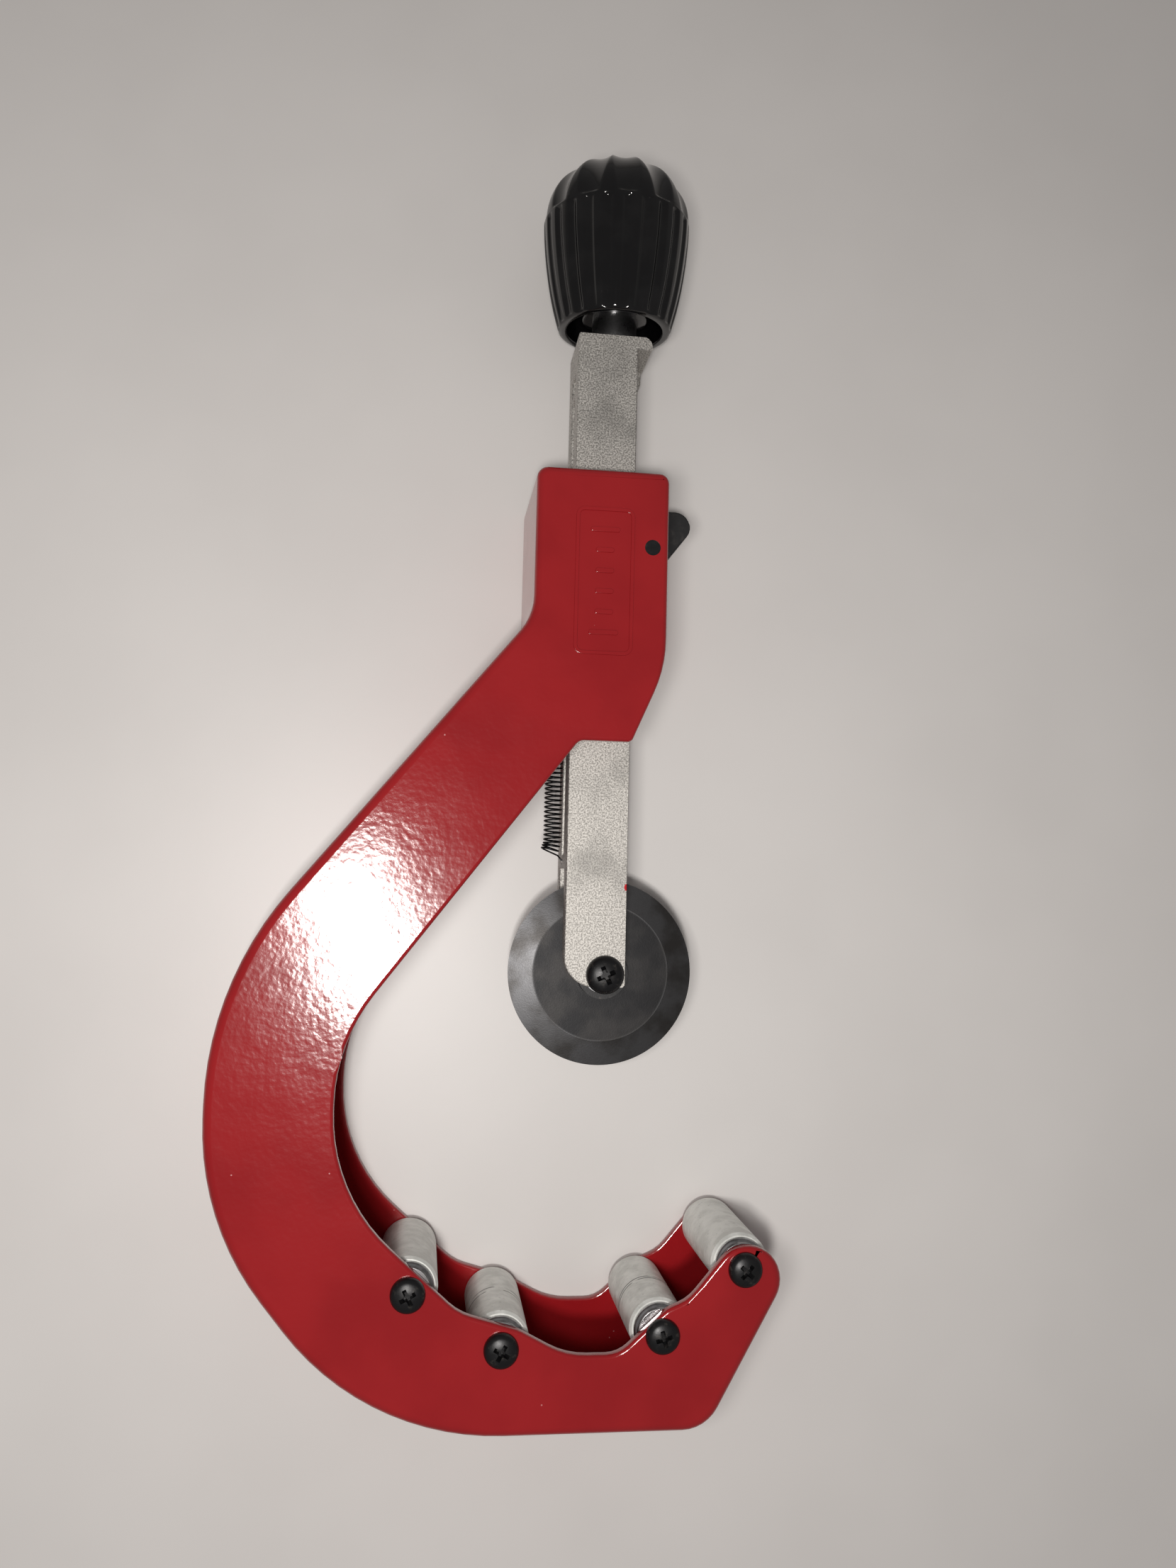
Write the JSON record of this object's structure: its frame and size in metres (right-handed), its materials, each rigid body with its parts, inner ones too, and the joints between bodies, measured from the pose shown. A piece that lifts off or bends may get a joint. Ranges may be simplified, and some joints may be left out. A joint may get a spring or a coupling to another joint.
{
  "type": "pipe cutter",
  "caption": "Screw-fed pipe cutter: C-shaped roller frame, sliding bar with a cutting wheel, return spring and a fluted feed knob with a quick-release latch.",
  "frame": {"origin": "on the back face of the frame, at the centre of the circle that the four roller axes stand on", "axes": "+Z from the back face to the front face, along the rollers; +Y along the slide towards the knob; +X towards the open side of the C"},
  "size_m": [0.1396, 0.3256, 0.0465],
  "materials": {
    "red_paint": "glossy powder coat",
    "cast_aluminium": "blasted, dull",
    "turned_aluminium": "turned, satin",
    "black_steel": "black oxide",
    "wheel_steel": "dark, ground bevel",
    "bright_steel": "turned",
    "spring_steel": "blackened wire",
    "yellow_zinc": "yellow zinc plating",
    "black_plastic": "glossy moulded",
    "black_lever": "satin black"
  },
  "bodies": {
    "frame": {"frame_body": "red_paint", "roller_screws": "black_steel", "roller_washers": "bright_steel", "latch_pin": "black_steel", "latch_spring": "spring_steel", "return_spring": "spring_steel", "spring_anchor_pin": "bright_steel"},
    "slide": {"slide_bar": "cast_aluminium", "thrust_washer": "bright_steel", "wheel_bush": "bright_steel", "wheel_screw": "black_steel", "wheel_nut": "black_steel", "wheel_washers": "bright_steel"},
    "knob": {"knob": "black_plastic", "knob_insert": "bright_steel", "feed_screw": "bright_steel", "retaining_clip": "yellow_zinc"},
    "latch": {"latch_lever": "black_lever"},
    "wheel": {"cutting_wheel": "wheel_steel"},
    "roller_1": {"roller_1": "turned_aluminium"},
    "roller_2": {"roller_2": "turned_aluminium"},
    "roller_3": {"roller_3": "turned_aluminium"},
    "roller_4": {"roller_4": "turned_aluminium"}
  },
  "joints": [
    {"name": "slide_travel", "type": "slide", "parent": "frame", "child": "slide", "axis": [0, 1, 0], "range_m": [-0.02, 0.055], "deforming": ["return_spring"]},
    {"name": "knob_turn", "type": "hinge", "parent": "slide", "child": "knob", "pos_m": [0.0084, 0.21, 0.022], "axis": [0, 1, 0], "range_deg": [-1800, 4950]},
    {"name": "latch_pivot", "type": "hinge", "parent": "frame", "child": "latch", "pos_m": [0.0163, 0.1417, 0.022], "axis": [0, 0, 1], "range_deg": [0, 5.5], "stiffness_Nm_per_rad": 0.3, "springref_deg": -11.46, "deforming": ["latch_spring"]},
    {"name": "wheel_spin", "type": "hinge", "parent": "slide", "child": "wheel", "pos_m": [0.0084, 0.0343, 0.022], "axis": [0, 0, 1], "continuous": true},
    {"name": "roller_1_spin", "type": "hinge", "parent": "frame", "child": "roller_1", "pos_m": [-0.03855, -0.03992, 0.0209], "axis": [0, 0, 1], "continuous": true},
    {"name": "roller_2_spin", "type": "hinge", "parent": "frame", "child": "roller_2", "pos_m": [-0.01623, -0.05307, 0.0209], "axis": [0, 0, 1], "continuous": true},
    {"name": "roller_3_spin", "type": "hinge", "parent": "frame", "child": "roller_3", "pos_m": [0.02257, -0.0507, 0.0209], "axis": [0, 0, 1], "continuous": true},
    {"name": "roller_4_spin", "type": "hinge", "parent": "frame", "child": "roller_4", "pos_m": [0.0427, -0.03545, 0.0209], "axis": [0, 0, 1], "continuous": true}
  ],
  "couplings": [
    {"joint": "knob_turn", "follows": "slide_travel", "rad_per_m": 1570.8}
  ]
}
